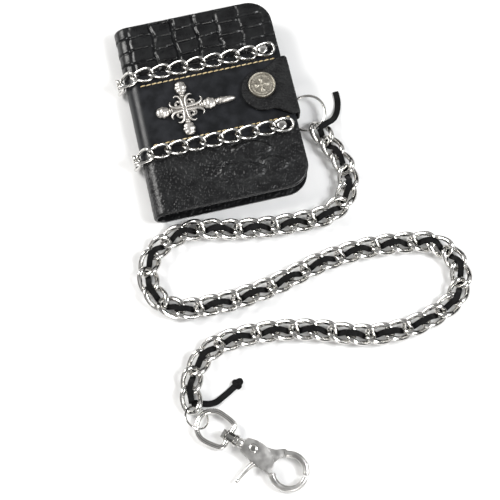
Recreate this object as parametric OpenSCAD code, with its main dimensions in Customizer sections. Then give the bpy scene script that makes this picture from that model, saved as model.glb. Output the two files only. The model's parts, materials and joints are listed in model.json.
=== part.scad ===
/* [Wallet] */
// closed wallet height, along Y
body_h = 120; // [100:1:200]
// closed wallet width from the spine to the opening, along X
body_w = 94; // [85:1:110]
// closed thickness over the leather, front to back
body_t = 16; // [16:0.5:18]
// thickness of the outer leather
hide_t = 1.8; // [1.2:0.1:2.2]
// corner radius at the opening side
corner_r = 14; // [8:1:20]
// thickness of each inner ply
ply_t = 0.9; // [0.6:0.1:1]
// gap between the inner plies and the free edges of the covers
ply_inset = 4.5; // [4:0.5:8]
// how far each card slot steps down from the one before
slot_step = 13; // [8:1:18]
// bottom edge of the smooth band on the front cover
band_y0 = -24; // [-30:1:-15]
// top edge of the smooth band on the front cover
band_y1 = 27; // [15:1:32]
// thickness of the panels sewn on the front cover
panel_t = 0.8; // [0.6:0.1:1]
// length of one stitch
stitch_len = 2.5; // [2:0.1:3]
// distance between stitches
stitch_pitch = 3.4; // [3:0.1:5]

/* [Cover chains] */
// half length of a cover link, centre line
deco_a = 6.5; // [6.4:0.05:6.6]
// half width of a cover link, centre line
deco_b = 3.6; // [3.5:0.1:4]
// rise of the twist in a cover link
deco_c = 1.8; // [1.6:0.1:1.9]
// wire radius of the cover chains
deco_r = 0.9; // [0.7:0.05:0.9]
// distance between links of the cover chains
deco_pitch = 10.4; // [10.3:0.05:10.5]
// height of the cover chain centre line over the leather
deco_lift = 2.75; // [2.7:0.05:3]
// links lying flat on the front cover
deco_links = 8; // [6:1:8]

/* [Strap and snap] */
// strap width where it wraps the edge
strap_w = 37; // [26:1:38]
// middle of the strap along Y
strap_y = 1.5; // [0:0.5:3]
// how far the strap reaches over the front, from the edge
strap_reach = 28; // [24:1:32]
// strap leather thickness
strap_t = 2.2; // [1.6:0.1:2.4]
// radius of the rounded strap tip
strap_tip_r = 13; // [10:0.5:13]
// radius of the snap cap
cap_r = 8.2; // [6.5:0.1:9]
// distance from the strap tip to the snap centre
cap_in = 12.5; // [10:0.5:14]

/* [Wallet chain] */
// half length of a main link, centre line
link_a = 7.3; // [7.2:0.05:7.4]
// half width of a main link, centre line
link_b = 5; // [4.9:0.1:5.4]
// rise of the twist in a main link
link_c = 2.1; // [2.1:0.05:2.3]
// wire radius of the main chain
link_r = 1.5; // [1.3:0.05:1.5]
// distance between main links
link_pitch = 10.8; // [10.6:0.05:10.9]
// lace width
lace_w = 3; // [2.4:0.1:3.4]
// lace thickness
lace_t = 1; // [0.8:0.1:1.1]
// how far the lace swings over and under the links
lace_swing = 4.3; // [4.2:0.05:4.5]
// radius of the wallet ring, centre line
ring_r = 10.6; // [9.5:0.1:11.5]
// wire radius of the wallet ring
ring_wire = 0.9; // [0.6:0.05:0.9]
// radius of the ring between chain and hook
end_ring_r = 6.9; // [6.7:0.1:7.2]
// wire radius of that ring
end_ring_wire = 0.7; // [0.5:0.05:0.8]

/* [Snap hook] */
// bow radius of the swivel eye, centre line
eye_r = 8.9; // [8.5:0.1:9.5]
// wire radius of the swivel eye
eye_wire = 1.6; // [1.3:0.1:1.7]
// inner radius of the claw
claw_in = 7.7; // [6:0.1:8.5]
// outer radius of the claw
claw_out = 11.3; // [11:0.1:12.5]
// thickness of the hook body
hook_t = 5.6; // [4.5:0.1:6]
// length of the thumb lever
lever_len = 14; // [10:0.5:17]

/* [Hidden] */
e = 0.01;
// clearances
gap = 0.2;
run_gap = 0.07;
body_gap = 0.4;
snap_gap = 0.15;
// the wallet's cross section: spine round at -X, free edges at +X
half_t = body_t / 2;
x_out = -body_w / 2;
x_arc = x_out + half_t;
x_free = body_w / 2;
in_r = half_t - hide_t;
ply_x1 = x_free - ply_inset;
ply_x0 = x_arc + 1;
ply_h = body_h - 2 * ply_inset;
front_z0 = body_t - hide_t;
hide_in_t = hide_t - panel_t;
strap_z0 = 6.6;
slot_top = hide_t + 4 * ply_t;
strap_z1 = body_t + body_gap + 0.2;
strap_x = x_free + 0.8;
cap_x = x_free - strap_reach + cap_in;
cap_y = strap_y + 2.5;
// cover chain lines
chain_y = [band_y1 - 1, band_y0 + 1];
wrap_x = x_out - deco_lift;
wrap_z = half_t + 5.5;
wrap_dz = body_t + deco_lift - wrap_z;
deco_x0 = wrap_x + sqrt(pow(deco_pitch - 0.1, 2) - wrap_dz * wrap_dz);
// main chain on the table: links and turn per link, one row per run of links
plan = [
  [0, 3, -2], [0, 4, -26.5], [1, 6, -3], [2, 3, 16], [3, 5, 28.5], [4, 6, 3.5],
  [5, 7, -4], [6, 5, -28.5], [7, 6, -8], [8, 6, 4.5], [9, 4, 20.5]];
chain_z = lace_swing + lace_t / 2;
start_heading = -65.5;
ring_tilt = 12;
chain_start = [x_free + 11.3, -22.8];
ring_c = [x_free + 8.2, -13.6, chain_z + 0.2];
turns = [for (r = plan) for (i = [1:r[1]]) r[2]];
run_of = [for (r = plan) for (i = [1:r[1]]) r[0]];
n_links = len(turns);
headings = [for (h = start_heading + turns[0], i = 0; i < n_links;
  h = h + (i + 1 < n_links ? turns[i + 1] : 0), i = i + 1) h];
joints = [for (p = chain_start, i = 0; i <= n_links;
  p = p + (i < n_links ? link_pitch * [cos(headings[i]), sin(headings[i])] : [0, 0]), i = i + 1) p];
// end ring and hook
last_h = headings[n_links - 1];
last_c = (joints[n_links] + joints[n_links - 1]) / 2;
end_dir = last_h + 8;
end_c = last_c + (link_a - 3.6 + end_ring_r) * [cos(end_dir), sin(end_dir)];
hook_dir = -43;
hook_z = 4;
eye_c = end_c + (eye_r + end_ring_r - 5.6) * [cos(hook_dir), sin(hook_dir)];
rivet_x = 25.5;
rivet_y = 1;
claw_x = 48.5;
$fn = 48;

// ---- link and lace geometry ----
function unit(v) = v / norm(v);
function link_pt(a, b, c, t) = [a * cos(t), b * sin(t), c * sin(2 * t)];
function link_dir(a, b, c, t) = unit([-a * sin(t), b * cos(t), 2 * c * cos(2 * t)]);
rings = 16;
sides = 6;
tube_faces = [for (j = [0:rings - 1]) for (k = [0:sides - 1])
  let (a = j * sides + k, b = j * sides + (k + 1) % sides,
    c = ((j + 1) % rings) * sides + k, d = ((j + 1) % rings) * sides + (k + 1) % sides)
  for (f = [[a, b, d], [a, d, c]]) f];

module curb_link(a, b, c, r) {
  pts = [for (j = [0:rings - 1]) let (t = 360 * j / rings, p = link_pt(a, b, c, t),
    d = link_dir(a, b, c, t), u = unit(cross(d, [0, 0, 1])), v = cross(u, d))
    for (k = [0:sides - 1]) p + r * (cos(360 * k / sides) * u + sin(360 * k / sides) * v)];
  polyhedron(points = pts, faces = tube_faces, convexity = 6);
}

module main_link(i) {
  m = (joints[i] + joints[i + 1]) / 2;
  translate([m[0], m[1], chain_z]) rotate([0, 0, headings[i]]) curb_link(link_a, link_b, link_c, link_r);
}

module run_links(n) {
  color("silver") for (i = [0:n_links - 1]) if (run_of[i] == n) main_link(i);
}

module deco_link() {
  curb_link(deco_a, deco_b, deco_c, deco_r);
}

// a point along the chain's middle, s counted in links from the start
function along(s) = let (i = min(floor(s), n_links - 1), f = s - i) joints[i] * (1 - f) + joints[i + 1] * f;
function heading_at(s) = let (i = min(max(floor(s - 0.5), 0), n_links - 1), j = min(i + 1, n_links - 1),
  f = min(max(s - 0.5 - i, 0), 1)) headings[i] * (1 - f) + headings[j] * f;
function lace_z(s) = let (c = cos(180 * s)) chain_z + lace_swing * c * (1.5 - 0.5 * c * c);

// a flat strip from s0 to s1, given in links
module lace_strip(s0, s1) {
  n = ceil((s1 - s0) * 6);
  st = [for (i = [0:n]) s0 + (s1 - s0) * i / n];
  pts = [for (s = st) let (p = along(s), h = heading_at(s), c0 = cos(180 * s), sl = -1.5 * lace_swing * PI / link_pitch * sin(180 * s) * (1 - c0 * c0),
    w = [-sin(h), cos(h), 0] * lace_w / 2, m = unit([-sl * cos(h), -sl * sin(h), 1]) * lace_t / 2,
    c = [p[0], p[1], lace_z(s)]) for (q = [c - w - m, c + w - m, c + w + m, c - w + m]) q];
  fs = [for (i = [0:n - 1]) for (k = [0:3]) let (a = i * 4 + k, b = i * 4 + (k + 1) % 4,
    c = a + 4, d = b + 4) for (f = [[a, d, b], [a, c, d]]) f];
  polyhedron(points = pts, faces = concat(fs, [[0, 1, 2], [0, 2, 3],
    [4 * n + 2, 4 * n + 1, 4 * n], [4 * n + 3, 4 * n + 2, 4 * n]]), convexity = 6);
}

function run_first(n) = search(n, run_of)[0];
function run_count(n) = len([for (r = run_of) if (r == n) 1]);

module lace_run(n) {
  a = run_first(n);
  b = a + run_count(n);
  color("black") lace_strip(n == 0 ? 0.35 : a + 0.42, n == 9 ? b - 0.4 : b + 0.3);
}

// ---- leather outlines ----
module free_plan(x0, x1, h, r) {
  translate([0, -h / 2]) union() {
    translate([x0, 0]) square([x1 - x0 - r, h]);
    translate([x0, r]) square([x1 - x0, h - 2 * r]);
    translate([x1 - r, r]) circle(r);
    translate([x1 - r, h - r]) circle(r);
  }
}

module slab(x0, x1, h, r, z, t) {
  translate([0, 0, z]) linear_extrude(t) free_plan(x0, x1, h, r);
}

// part of the round spine between two angles, seen along Y
module spine_shell(r0, r1, a0, a1, h) {
  translate([x_arc, h / 2, half_t]) rotate([90, 0, 0]) linear_extrude(h)
    difference() {
      intersection() {
        circle(r1, $fn = 96);
        polygon([[0, 0], 3 * r1 * [cos(a0), sin(a0)], 3 * r1 * [cos((a0 + a1) / 2), sin((a0 + a1) / 2)],
          3 * r1 * [cos(a1), sin(a1)]]);
      }
      circle(r0, $fn = 96);
    }
}

// ---- back, fixed ----
module back_hide() {
  color("dimgray") union() {
    slab(x_arc - e, x_free, body_h, corner_r, 0, hide_t);
    spine_shell(in_r, half_t, 226, 270, body_h);
  }
}

module back_lining() {
  color("black") slab(ply_x0, ply_x1, ply_h, corner_r - 4, hide_t, ply_t);
}

module slot_ply(z, drop) {
  color("dimgray") translate([ply_x0, -ply_h / 2, z]) cube([ply_x1 - ply_x0 - 2, ply_h - 10 - drop, ply_t]);
}

module back_slot_1() {
  slot_ply(hide_t + ply_t, 0);
}

module back_slot_2() {
  slot_ply(hide_t + 2 * ply_t, slot_step);
}

module back_slot_3() {
  slot_ply(hide_t + 3 * ply_t, 2 * slot_step);
}

module ring_keeper() {
  top = strap_z0 - 0.5;
  w = 4.4;
  color("black") translate([0, ring_c[1] - w / 2, 0]) union() {
    translate([ply_x1 - 1.8, 0, hide_t + ply_t]) cube([1.7, w, top - hide_t - ply_t]);
    translate([ply_x1 - 1.8, 0, top - 1]) cube([x_free - ply_x1 + 1.8, w, 1]);
    translate([x_free - 0.6, 0, hide_t]) cube([0.6, w, top - hide_t]);
  }
}

// ---- spine, turns on the back's fold ----
module spine_hide() {
  color("dimgray") difference() {
    spine_shell(in_r, half_t, 135, 225.4, body_h);
    for (y = chain_y) translate([x_out - 1, y, wrap_z - deco_pitch / 2]) rotate([0, 90, 0])
      cylinder(h = hide_t + 2, r = 1.1 + e, $fn = 24);
  }
}

module spine_lining() {
  color("black") spine_shell(in_r - ply_t, in_r, 140, 220, ply_h);
}

module at_spine_link(y) {
  translate([wrap_x, y, wrap_z - deco_pitch / 2]) rotate([0, 90, 0]) rotate([0, 0, 0]) children();
}

module spine_links() {
  color("silver") for (y = chain_y) at_spine_link(y) deco_link();
}

module spine_chain_rivets() {
  color("silver") for (y = chain_y) translate([x_out, y, wrap_z - deco_pitch / 2]) rotate([0, -90, 0]) union() {
    translate([0, 0, 0.1 - hide_t]) cylinder(h = deco_lift + deco_r + 0.3 + hide_t, r = 1.1, $fn = 24);
    translate([0, 0, deco_lift + deco_r + 0.2]) cylinder(h = 1, r = 2.8, $fn = 32);
  }
}

// ---- links that turn the corner from the spine to the front ----
module corner_links() {
  a = atan2(wrap_dz, deco_x0 - wrap_x);
  color("silver") for (y = chain_y) translate([(wrap_x + deco_x0) / 2, y, wrap_z + wrap_dz / 2])
    rotate([0, -a, 0]) deco_link();
}

// ---- front cover, turns on the spine's other fold ----
module snap_hole(z, t, r) {
  translate([cap_x, cap_y, z - 1]) cylinder(h = t + 2, r = r);
}

module front_hide() {
  color("dimgray") difference() {
    union() {
      slab(x_arc - e, x_free, body_h, corner_r, front_z0, hide_in_t);
      spine_shell(in_r, half_t, 90, 134, body_h);
    }
    snap_hole(front_z0, hide_t, 1.8 + gap);
    translate([x_arc, -body_h, body_t - panel_t]) cube([body_w, 2 * body_h, 5]);
  }
}

module front_panel(y0, y1, t) {
  intersection() {
    slab(x_arc + 0.02, x_free, body_h, corner_r, body_t - panel_t, t);
    translate([-body_w, y0, 0]) cube([2 * body_w, y1 - y0, 2 * body_t]);
  }
}

module panel_top() {
  color("dimgray") front_panel(band_y1 + 0.05, body_h / 2, panel_t);
}

module panel_band() {
  color("gray") difference() {
    front_panel(band_y0, band_y1, panel_t);
    snap_hole(front_z0, hide_t, 1.8 + gap);
  }
}

module panel_low() {
  color("dimgray") front_panel(-body_h / 2, band_y0 - 0.05, panel_t);
}

module stitch_row(y, x1) {
  n = floor((x1 - x_arc - 2) / stitch_pitch);
  color("wheat") for (i = [0:n - 1]) translate([x_arc + 1 + i * stitch_pitch, y - 0.3, body_t])
    cube([stitch_len, 0.6, 0.35]);
}

module stitch_upper() {
  stitch_row(band_y1 - 6.6, x_free - 1);
}

module stitch_lower() {
  stitch_row(band_y0 + 6.4, x_free - 1);
}

module deco_row(y) {
  color("silver") for (i = [0:deco_links - 1])
    translate([deco_x0 + (i + 0.5) * deco_pitch, y, body_t + deco_lift]) deco_link();
}

module cover_chain_upper() {
  deco_row(chain_y[0]);
}

module cover_chain_lower() {
  deco_row(chain_y[1]);
}

module cover_chain_rivets() {
  color("silver") for (y = chain_y) translate([deco_x0 + (deco_links - 0.5) * deco_pitch, y, body_t]) union() {
    cylinder(h = deco_lift + deco_r + 0.3, r = 1.1, $fn = 24);
    translate([0, 0, deco_lift + deco_r + 0.2]) cylinder(h = 1, r = 2.8, $fn = 32);
  }
}

// cross ornament: low relief, long arm toward the opening
module cross_ornament() {
  color("gainsboro") translate([-15.5, 0.5, body_t]) union() {
    translate([-14, -2, 0]) cube([30, 4, 2]);
    translate([-2, -13, 0]) cube([4, 26, 2]);
    for (a = [0, 90, 180, 270]) rotate([0, 0, a]) {
      translate([12, 0, 0]) cylinder(h = 3.4, r = 4.2);
      translate([5, -4, 0]) cube([4, 8, 1.6]);
    }
    translate([-17, -2.6, 0]) cube([4, 5.2, 2.8]);
    translate([-2.6, 13, 0]) cube([5.2, 4, 2.8]);
    translate([-2.6, -17, 0]) cube([5.2, 4, 2.8]);
    translate([13, 0, 2.4]) rotate([0, 90, 0]) cylinder(h = 12, r = 2.4);
    translate([25, 0, 2.4]) scale([2.2, 1, 1]) sphere(r = 2.4);
  }
}

module snap_stud() {
  color("silver") translate([cap_x, cap_y, 0]) union() {
    translate([0, 0, front_z0]) cylinder(h = hide_t, r = 1.8);
    translate([0, 0, body_t]) cylinder(h = body_gap + 0.2 - 0.05, r = 4.2);
    translate([0, 0, body_t]) cylinder(h = strap_z1 - body_t + 1.5, r = 2.2);
  }
}

module snap_stud_back() {
  color("silver") translate([cap_x, cap_y, front_z0 - ply_t]) cylinder(h = ply_t, r = 4.5);
}

module front_lining() {
  color("black") difference() {
    slab(ply_x0, ply_x1, ply_h, corner_r - 4, front_z0 - ply_t, ply_t);
    translate([cap_x, cap_y, front_z0 - 2]) cylinder(h = 4, r = 4.5 + gap);
  }
}

module front_slot_1() {
  slot_ply(front_z0 - 2 * ply_t, 0);
}

module front_slot_2() {
  slot_ply(front_z0 - 3 * ply_t, slot_step);
}

module front_slot_3() {
  slot_ply(front_z0 - 4 * ply_t, 2 * slot_step);
}

// ---- strap, turns up off the back's free edge ----
module strap_plan() {
  tip = x_free - strap_reach + strap_tip_r;
  w = strap_w / 2;
  union() {
    translate([tip, strap_y]) circle(strap_tip_r);
    polygon([[tip + 2, strap_y + strap_tip_r - 0.2], [x_free - 2, strap_y + w], [strap_x, strap_y + w],
      [strap_x, strap_y - w], [x_free - 2, strap_y - w], [tip + 2, strap_y - strap_tip_r + 0.2]]);
  }
}

module strap_leather() {
  r = 2.6;
  color("dimgray") difference() {
    union() {
      translate([0, 0, strap_z1]) linear_extrude(strap_t) strap_plan();
      translate([strap_x - e, strap_y - strap_w / 2, strap_z1]) intersection() {
        translate([0, 0, 0]) rotate([-90, 0, 0]) cylinder(h = strap_w, r = strap_t);
        cube([strap_t + 1, strap_w, strap_t + 1]);
      }
      translate([strap_x, strap_y - strap_w / 2, strap_z0 + strap_t]) cube([strap_t, strap_w, strap_z1 - strap_z0 - strap_t + e]);
      translate([strap_x, strap_y - strap_w / 2, strap_z0 + strap_t]) intersection() {
        rotate([-90, 0, 0]) cylinder(h = strap_w, r = strap_t);
        translate([0, 0, -strap_t - 1]) cube([strap_t + 1, strap_w, strap_t + 1 + e]);
      }
      translate([ply_x1 - 8, strap_y - strap_w / 2 + 2, strap_z0]) cube([strap_x - ply_x1 + 8 + e, strap_w - 4, strap_t]);
      translate([ply_x1 - 8, ring_c[1] + 5, slot_top]) cube([10, strap_y + strap_w / 2 - 2 - ring_c[1] - 5, 2]);
    }
    translate([cap_x, cap_y, strap_z1 - 1]) cylinder(h = strap_t + 2, r = 3.6 + gap);
  }
}

module snap_socket() {
  color("silver") translate([cap_x, cap_y, strap_z1]) difference() {
    cylinder(h = strap_t, r = 3.6);
    translate([0, 0, -1]) cylinder(h = 1 + 1.5 + snap_gap, r = 2.2 + snap_gap);
  }
}

module snap_cap() {
  color("silver") translate([cap_x, cap_y, strap_z1 + strap_t]) union() {
    cylinder(h = 1.3, r = cap_r);
    difference() {
      translate([0, 0, 1.3 - e]) cylinder(h = 0.8, r = cap_r - 0.4);
      translate([0, 0, 1.3]) cylinder(h = 2, r = cap_r - 1.5);
    }
    translate([0, 0, 1.3 - e]) cylinder(h = 0.6, r = 4.6);
  }
}

// ---- rings ----
module wire_ring(r, w) {
  rotate_extrude($fn = 72) translate([r, 0]) circle(w, $fn = 24);
}

module wallet_ring() {
  color("silver") translate(ring_c) rotate([0, 0, start_heading - 4]) rotate([ring_tilt, 0, 0]) wire_ring(ring_r, ring_wire);
}

module end_ring() {
  color("silver") translate([end_c[0], end_c[1], chain_z]) rotate([0, 0, (end_dir + hook_dir) / 2])
    rotate([-36, 0, 0]) wire_ring(end_ring_r, end_ring_wire);
}

module at_hook() {
  translate([eye_c[0], eye_c[1], hook_z]) rotate([0, 0, hook_dir]) children();
}

module bar(p, q, r) {
  v = q - p;
  translate(p) rotate([0, 0, atan2(v[1], v[0])]) rotate([0, 90, 0]) cylinder(h = norm(v), r = r, $fn = 32);
}

// the eye's centre line: a round bow and a nearly flat side that carries the barrel
eye_path = concat([for (a = [90:15:270]) eye_r * [cos(a), sin(a)]],
  [[5, -eye_r + 0.4], [9, -eye_r + 1.2], [10.3, -eye_r + 2.6], [10.5, -3], [10.5, 0], [10.5, 3],
    [10.3, eye_r - 2.6], [9, eye_r - 1.2], [5, eye_r - 0.4]]);

module flat_loop(path, r, m) {
  n = len(path);
  pts = [for (i = [0:n - 1]) let (d = unit(path[(i + 1) % n] - path[(i + n - 1) % n]))
    for (k = [0:m - 1]) [path[i][0] + d[1] * r * cos(360 * k / m), path[i][1] - d[0] * r * cos(360 * k / m),
      r * sin(360 * k / m)]];
  fs = [for (i = [0:n - 1]) for (k = [0:m - 1]) let (a = i * m + k, b = i * m + (k + 1) % m,
    c = ((i + 1) % n) * m + k, d = ((i + 1) % n) * m + (k + 1) % m) for (f = [[a, b, d], [a, d, c]]) f];
  polyhedron(points = pts, faces = fs, convexity = 6);
}

module swivel_eye() {
  color("silver") at_hook() difference() {
    union() {
      flat_loop(eye_path, eye_wire, 10);
      translate([8, 0, 0]) rotate([0, 90, 0]) cylinder(h = 6.8, r = 3.4);
      translate([14.6, 0, 0]) rotate([0, 90, 0]) cylinder(h = 1.4, r = 3.7);
    }
    rotate([0, 90, 0]) cylinder(h = 20, r = 1.5 + run_gap);
  }
}

module swivel_pin() {
  color("silver") at_hook() union() {
    translate([6.3, 0, 0]) rotate([0, 90, 0]) cylinder(h = 1.5, r = 2.6);
    translate([6.3, 0, 0]) rotate([0, 90, 0]) cylinder(h = 10.2, r = 1.5);
  }
}

// ring segment of the claw between two angles
module claw_arc(a0, a1, t) {
  rm = (claw_in + claw_out) / 2;
  n = 20;
  intersection() {
    rotate_extrude($fn = 72) translate([rm, 0]) scale([(claw_out - claw_in) / 2, t / 2]) circle(1, $fn = 24);
    translate([0, 0, -10]) linear_extrude(20) polygon(concat([[0, 0]],
      [for (i = [0:n]) let (a = a0 + (a1 - a0) * i / n) 20 * [cos(a), sin(a)]]));
  }
}

module hook_body() {
  slot = 2;
  color("silver") at_hook() union() {
    translate([16.5, 0, 0]) rotate([0, 90, 0]) cylinder(h = 4, r = 2.9);
    difference() {
      union() {
        translate([0, 0, -hook_t / 2]) linear_extrude(hook_t) polygon([[19.5, -3], [19.5, 4.2], [25, 5.8],
          [31, 5.4], [37.5, 2.4], [40.6, -1.5], [41.4, -6.6], [40.2, -7], [35, -6.4], [27, -5.6], [22, -4.4]]);
      }
      translate([claw_x, 0, 0]) cylinder(h = 20, r = claw_in, center = true);
      translate([rivet_x, rivet_y, 0]) cylinder(h = 20, r = 1.6 + run_gap, center = true);
      translate([21.5, -10, -slot / 2 - gap]) cube([30, 20, slot + 2 * gap]);
    }
    translate([claw_x, 0, 0]) claw_arc(215, 372, hook_t * 0.86);
  }
}

module hook_rivet() {
  color("silver") at_hook() translate([rivet_x, rivet_y, 0]) union() {
    cylinder(h = hook_t + 1.4, r = 1.6, center = true);
    for (s = [1, -1]) translate([0, 0, s * (hook_t / 2 + 0.45)]) cylinder(h = 0.9, r = 2.5, center = true);
  }
}

module hook_gate() {
  t = 2;
  color("gainsboro") at_hook() union() {
    difference() {
      union() {
        translate([0, 0, -t / 2]) linear_extrude(t) polygon([[22.6, -3.4], [24, 4.4], [29, 5], [36, 6.6], [41.6, 10.6],
          [46, 9.6], [45, 6], [41, 3], [36, -3.6], [31, -7.4]]);
        bar([29, -5, 0], [26.5, -6.2 - lever_len * 0.88, 0], 1);
        translate([26.5, -6.2 - lever_len * 0.88, 0]) sphere(r = 1.3, $fn = 24);
      }
      translate([claw_x, 0, 0]) cylinder(h = 20, r = claw_in + 0.3, center = true);
      translate([rivet_x, rivet_y, 0]) cylinder(h = 20, r = 1.6 + run_gap, center = true);
    }
    translate([claw_x, 0, 0]) claw_arc(16, 134, hook_t * 0.8);
  }
}

module chain_run_0() { run_links(0); }
module chain_run_1() { run_links(1); }
module chain_run_2() { run_links(2); }
module chain_run_3() { run_links(3); }
module chain_run_4() { run_links(4); }
module chain_run_5() { run_links(5); }
module chain_run_6() { run_links(6); }
module chain_run_7() { run_links(7); }
module chain_run_8() { run_links(8); }
module chain_run_9() { run_links(9); }
module lace_0() { lace_run(0); }
module lace_1() { lace_run(1); }
module lace_2() { lace_run(2); }
module lace_3() { lace_run(3); }
module lace_4() { lace_run(4); }
module lace_5() { lace_run(5); }
module lace_6() { lace_run(6); }
module lace_7() { lace_run(7); }
module lace_8() { lace_run(8); }
module lace_9() { lace_run(9); }

back_hide();
back_lining();
back_slot_1();
back_slot_2();
back_slot_3();
ring_keeper();
spine_hide();
spine_lining();
spine_links();
spine_chain_rivets();
corner_links();
front_hide();
panel_top();
panel_band();
panel_low();
stitch_upper();
stitch_lower();
cover_chain_upper();
cover_chain_lower();
cover_chain_rivets();
cross_ornament();
snap_stud();
snap_stud_back();
front_lining();
front_slot_1();
front_slot_2();
front_slot_3();
strap_leather();
snap_cap();
snap_socket();
wallet_ring();
chain_run_0();
chain_run_1();
chain_run_2();
chain_run_3();
chain_run_4();
chain_run_5();
chain_run_6();
chain_run_7();
chain_run_8();
chain_run_9();
lace_0();
lace_1();
lace_2();
lace_3();
lace_4();
lace_5();
lace_6();
lace_7();
lace_8();
lace_9();
end_ring();
swivel_eye();
swivel_pin();
hook_body();
hook_rivet();
hook_gate();
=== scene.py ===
"""Chain wallet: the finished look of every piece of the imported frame, in metres."""

import json
import logging
import math
from collections.abc import Callable, Iterable, Sequence
from dataclasses import dataclass
from enum import Enum

import bmesh
import bpy
import numpy as np
from mathutils import Matrix, Vector, noise


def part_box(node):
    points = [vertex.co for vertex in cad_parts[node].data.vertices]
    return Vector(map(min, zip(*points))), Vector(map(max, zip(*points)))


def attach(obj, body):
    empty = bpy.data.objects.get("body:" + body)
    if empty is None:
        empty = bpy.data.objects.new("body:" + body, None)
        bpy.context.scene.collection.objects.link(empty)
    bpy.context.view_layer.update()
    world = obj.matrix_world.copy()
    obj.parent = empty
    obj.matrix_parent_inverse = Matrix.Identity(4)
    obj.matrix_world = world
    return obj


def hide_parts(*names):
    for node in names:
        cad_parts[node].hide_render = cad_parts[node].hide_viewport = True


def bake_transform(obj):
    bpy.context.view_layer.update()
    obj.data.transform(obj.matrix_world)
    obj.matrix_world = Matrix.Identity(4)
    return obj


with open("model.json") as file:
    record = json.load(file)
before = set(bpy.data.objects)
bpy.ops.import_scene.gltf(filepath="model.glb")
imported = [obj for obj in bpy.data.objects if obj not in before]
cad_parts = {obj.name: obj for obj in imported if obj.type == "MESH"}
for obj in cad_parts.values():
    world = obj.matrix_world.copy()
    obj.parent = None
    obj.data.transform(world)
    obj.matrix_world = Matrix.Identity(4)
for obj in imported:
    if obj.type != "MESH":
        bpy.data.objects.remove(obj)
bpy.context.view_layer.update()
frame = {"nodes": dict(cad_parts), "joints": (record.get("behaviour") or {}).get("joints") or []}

LOG = logging.getLogger("wallet")
MM = 0.001
Point = Sequence[float]
Values = dict[str, object]


# ---------------------------------------------------------------- shader maths


class Signal:
    """One output of a node, on which arithmetic adds Math nodes."""

    def __init__(self, shader: "Shader", socket: bpy.types.NodeSocket | None) -> None:
        """Keeps the socket, if the node has one, and the shader that it belongs to."""
        self.shader = shader
        self.socket = socket

    def _math(self, operation: str, *values: object) -> "Signal":
        """Adds a Math node.

        Args:
            operation: the node's operation.
            values: its inputs in order, signals or numbers.

        Returns:
            The node's result.
        """
        inputs = {index: value for index, value in enumerate(values)}
        return self.shader.node("Math", {"operation": operation}, inputs)

    def __add__(self, other: object) -> "Signal":
        """Sum."""
        return self._math("ADD", self, other)

    def __sub__(self, other: object) -> "Signal":
        """Difference."""
        return self._math("SUBTRACT", self, other)

    def __rsub__(self, other: object) -> "Signal":
        """Reflected difference."""
        return self._math("SUBTRACT", other, self)

    def __mul__(self, other: object) -> "Signal":
        """Product."""
        return self._math("MULTIPLY", self, other)

    __radd__ = __add__
    __rmul__ = __mul__

    def __pow__(self, other: object) -> "Signal":
        """Power."""
        return self._math("POWER", self, other)


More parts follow.
